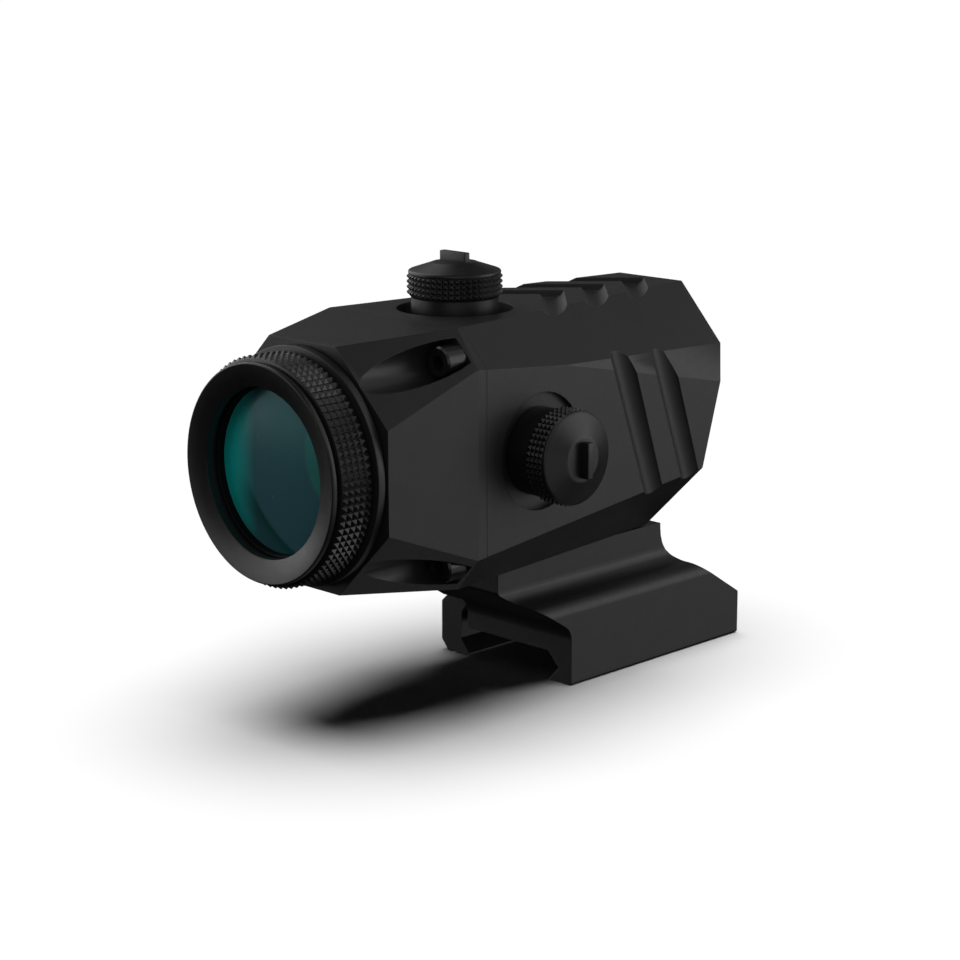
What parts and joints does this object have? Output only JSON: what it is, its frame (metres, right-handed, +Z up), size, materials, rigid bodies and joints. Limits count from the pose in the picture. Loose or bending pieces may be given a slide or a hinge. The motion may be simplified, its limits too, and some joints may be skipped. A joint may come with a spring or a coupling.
{
  "type": "red dot prism sight",
  "caption": "Compact prism sight with an eight-sided black housing, knurled diopter ring, capped adjusters, a side brightness dial and a set-back clamp base for an accessory rail.",
  "frame": {"origin": "on the surface that seats on the rail's top, at the middle of the clamp's length and on the sight's centre plane", "axes": "+Y along the sight line from the eyepiece to the objective, +X to the viewer's right (windage side), +Z up"},
  "size_m": [0.0538, 0.0915, 0.0678],
  "materials": {
    "anodised_black": "matte black hard anodising, fine bead-blasted grain",
    "anodised_knurl": "black anodising on pyramid knurling, slightly bright crests",
    "screw_steel": "black oxide",
    "bare_steel": "ground and polished",
    "brass": "machined",
    "rubber": "matte",
    "coated_glass": "polished, teal anti-reflection coating",
    "clear_glass": "polished",
    "circuit_board": "solder mask",
    "led_package": "clear red epoxy"
  },
  "bodies": {
    "housing": {"main_housing": "anodised_black", "eyepiece_housing": "anodised_black", "housing_screw_upper_right": "screw_steel", "housing_screw_upper_left": "screw_steel", "housing_screw_lower_right": "screw_steel", "housing_screw_lower_left": "screw_steel", "housing_gasket": "rubber", "eyepiece_flange": "anodised_black", "mount_base": "anodised_black", "mount_screw_front": "screw_steel", "mount_screw_rear": "screw_steel", "objective_lens": "coated_glass", "objective_retainer": "anodised_black", "elevation_bushing": "brass", "elevation_seal": "rubber", "windage_bushing": "brass", "windage_seal": "rubber", "battery_contact": "bare_steel", "led_board": "circuit_board", "return_spring": "bare_steel"},
    "diopter": {"diopter_ring": "anodised_knurl"},
    "ocular": {"ocular_cell": "anodised_black", "ocular_lens": "coated_glass", "ocular_retainer": "anodised_black", "field_lens": "clear_glass"},
    "gimbal": {"gimbal_ring": "bare_steel"},
    "erector": {"erector_tube": "anodised_black", "reticle_glass": "clear_glass", "led_emitter": "led_package", "prism_front": "clear_glass", "prism_rear": "clear_glass", "erector_lens": "clear_glass"},
    "elevation_cap": {"elevation_cap": "anodised_knurl"},
    "elevation_screw": {"elevation_screw": "brass"},
    "elevation_plunger": {"elevation_plunger": "bare_steel"},
    "windage_cap": {"windage_cap": "anodised_knurl"},
    "windage_screw": {"windage_screw": "brass"},
    "windage_plunger": {"windage_plunger": "bare_steel"},
    "dial": {"brightness_dial": "anodised_knurl", "battery": "bare_steel"},
    "battery_cap": {"battery_cap": "anodised_black"},
    "clamp": {"clamp_plate": "anodised_black"},
    "clamp_screw_front": {"clamp_screw_front": "screw_steel"},
    "clamp_screw_rear": {"clamp_screw_rear": "screw_steel"}
  },
  "joints": [
    {"name": "diopter_turn", "type": "hinge", "parent": "housing", "child": "diopter", "pos_m": [0, -0.06725, 0.03525], "axis": [0, 1, 0], "range_deg": [-180, 180]},
    {"name": "ocular_travel", "type": "slide", "parent": "housing", "child": "ocular", "axis": [0, 1, 0], "range_m": [-0.000375, 0.000375]},
    {"name": "gimbal_swing", "type": "hinge", "parent": "housing", "child": "gimbal", "pos_m": [0, -0.00525, 0.03525], "axis": [0, 0, 1], "range_deg": [-0.9, 0.9]},
    {"name": "erector_tilt", "type": "hinge", "parent": "gimbal", "child": "erector", "pos_m": [0, -0.00525, 0.03525], "axis": [1, 0, 0], "range_deg": [-0.9, 0.9]},
    {"name": "elevation_cap_turn", "type": "hinge", "parent": "housing", "child": "elevation_cap", "pos_m": [0, -0.03205, 0.05725], "axis": [0, 0, 1], "range_deg": [0, 1080]},
    {"name": "elevation_adjust", "type": "hinge", "parent": "housing", "child": "elevation_screw", "pos_m": [0, -0.03205, 0.05525], "axis": [0, 0, 1], "range_deg": [-270, 270]},
    {"name": "elevation_travel", "type": "slide", "parent": "housing", "child": "elevation_plunger", "axis": [0, 0, 1], "range_m": [-0.000375, 0.000375]},
    {"name": "windage_cap_turn", "type": "hinge", "parent": "housing", "child": "windage_cap", "pos_m": [0.022, -0.03205, 0.03525], "axis": [1, 0, 0], "range_deg": [0, 1080]},
    {"name": "windage_adjust", "type": "hinge", "parent": "housing", "child": "windage_screw", "pos_m": [0.02, -0.03205, 0.03525], "axis": [1, 0, 0], "range_deg": [-270, 270]},
    {"name": "windage_travel", "type": "slide", "parent": "housing", "child": "windage_plunger", "axis": [1, 0, 0], "range_m": [-0.000375, 0.000375]},
    {"name": "dial_turn", "type": "hinge", "parent": "housing", "child": "dial", "pos_m": [-0.022, -0.02925, 0.03525], "axis": [-1, 0, 0], "range_deg": [0, 300]},
    {"name": "battery_cap_turn", "type": "hinge", "parent": "dial", "child": "battery_cap", "pos_m": [-0.025, -0.02925, 0.03525], "axis": [-1, 0, 0], "range_deg": [0, 1080]},
    {"name": "clamp_slide", "type": "slide", "parent": "housing", "child": "clamp", "axis": [-1, 0, 0], "range_m": [0, 0.0025]},
    {"name": "clamp_screw_front_turn", "type": "hinge", "parent": "clamp", "child": "clamp_screw_front", "pos_m": [-0.016, -0.012, 0.00235], "axis": [-1, 0, 0], "range_deg": [0, 1200]},
    {"name": "clamp_screw_rear_turn", "type": "hinge", "parent": "clamp", "child": "clamp_screw_rear", "pos_m": [-0.016, 0.012, 0.00235], "axis": [-1, 0, 0], "range_deg": [0, 1200]}
  ],
  "couplings": [
    {"joint": "diopter_turn", "follows": "ocular_travel", "rad_per_m": 8377.6},
    {"joint": "elevation_adjust", "follows": "elevation_travel", "rad_per_m": 12566},
    {"joint": "erector_tilt", "follows": "elevation_travel", "rad_per_m": -37.313},
    {"joint": "windage_adjust", "follows": "windage_travel", "rad_per_m": 12566},
    {"joint": "gimbal_swing", "follows": "windage_travel", "rad_per_m": 37.313},
    {"joint": "clamp_screw_front_turn", "follows": "clamp_slide", "rad_per_m": 7854},
    {"joint": "clamp_screw_rear_turn", "follows": "clamp_slide", "rad_per_m": 7854}
  ]
}
